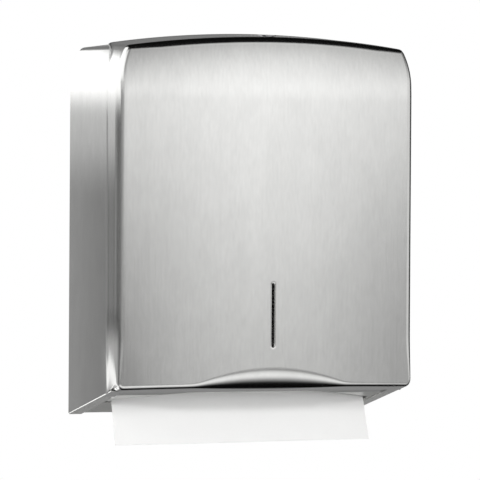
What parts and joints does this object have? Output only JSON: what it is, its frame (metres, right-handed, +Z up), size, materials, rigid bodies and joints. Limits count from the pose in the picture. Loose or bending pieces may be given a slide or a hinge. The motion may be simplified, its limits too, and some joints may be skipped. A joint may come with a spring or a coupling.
{
  "type": "paper towel dispenser",
  "caption": "Wall-mounted brushed steel dispenser for folded paper towels, with a bowed hinged cover, rolled grip, level slot, top cam lock and a slanted mouth the towel hangs from.",
  "frame": {"origin": "middle of the four wall screws, on the back face", "axes": "+X to the right of someone facing the front, -Y out of the front, +Y into the wall, +Z up"},
  "size_m": [0.275, 0.133, 0.3529],
  "materials": {
    "casing_steel": "vertical brushed grain",
    "cover_steel": "vertical brushed grain",
    "inner_steel": "plain rolled sheet",
    "hinge_steel": "zinc plated",
    "lock_chrome": "polished",
    "nylon": "plain moulded",
    "pad_rubber": "matt",
    "towel_paper": "soft creped"
  },
  "bodies": {
    "casing": {"back_plate": "inner_steel", "casing_wrap": "casing_steel", "floor_plate": "inner_steel", "towel_lip": "inner_steel", "guide_left": "inner_steel", "guide_right": "inner_steel", "hinge_bracket_left": "hinge_steel", "hinge_bracket_right": "hinge_steel", "hinge_pin_left": "hinge_steel", "hinge_pin_right": "hinge_steel", "hinge_washer_left": "nylon", "hinge_washer_right": "nylon", "keeper": "hinge_steel", "rest_pads": "pad_rubber", "towel_stack": "towel_paper"},
    "cover": {"front_cover": "cover_steel", "cover_lug_left": "hinge_steel", "cover_lug_right": "hinge_steel", "lock_barrel": "lock_chrome", "lock_washer": "hinge_steel", "lock_nut": "hinge_steel"},
    "lock_core": {"lock_plug": "lock_chrome", "lock_cam": "hinge_steel", "cam_screw": "hinge_steel"},
    "towel": {"hanging_towel": "towel_paper"}
  },
  "joints": [
    {"name": "cover_hinge", "type": "hinge", "parent": "casing", "child": "cover", "pos_m": [0, -0.1125, -0.13901], "axis": [1, 0, 0], "range_deg": [0, 80]},
    {"name": "lock_turn", "type": "hinge", "parent": "cover", "child": "lock_core", "pos_m": [0, -0.114, 0.15735], "axis": [0, 0.0576, -0.9983], "range_deg": [0, 90]},
    {"name": "towel_pull", "type": "slide", "parent": "casing", "child": "towel", "axis": [0, -0.2588, -0.9659], "range_m": [0, 0.04]}
  ]
}
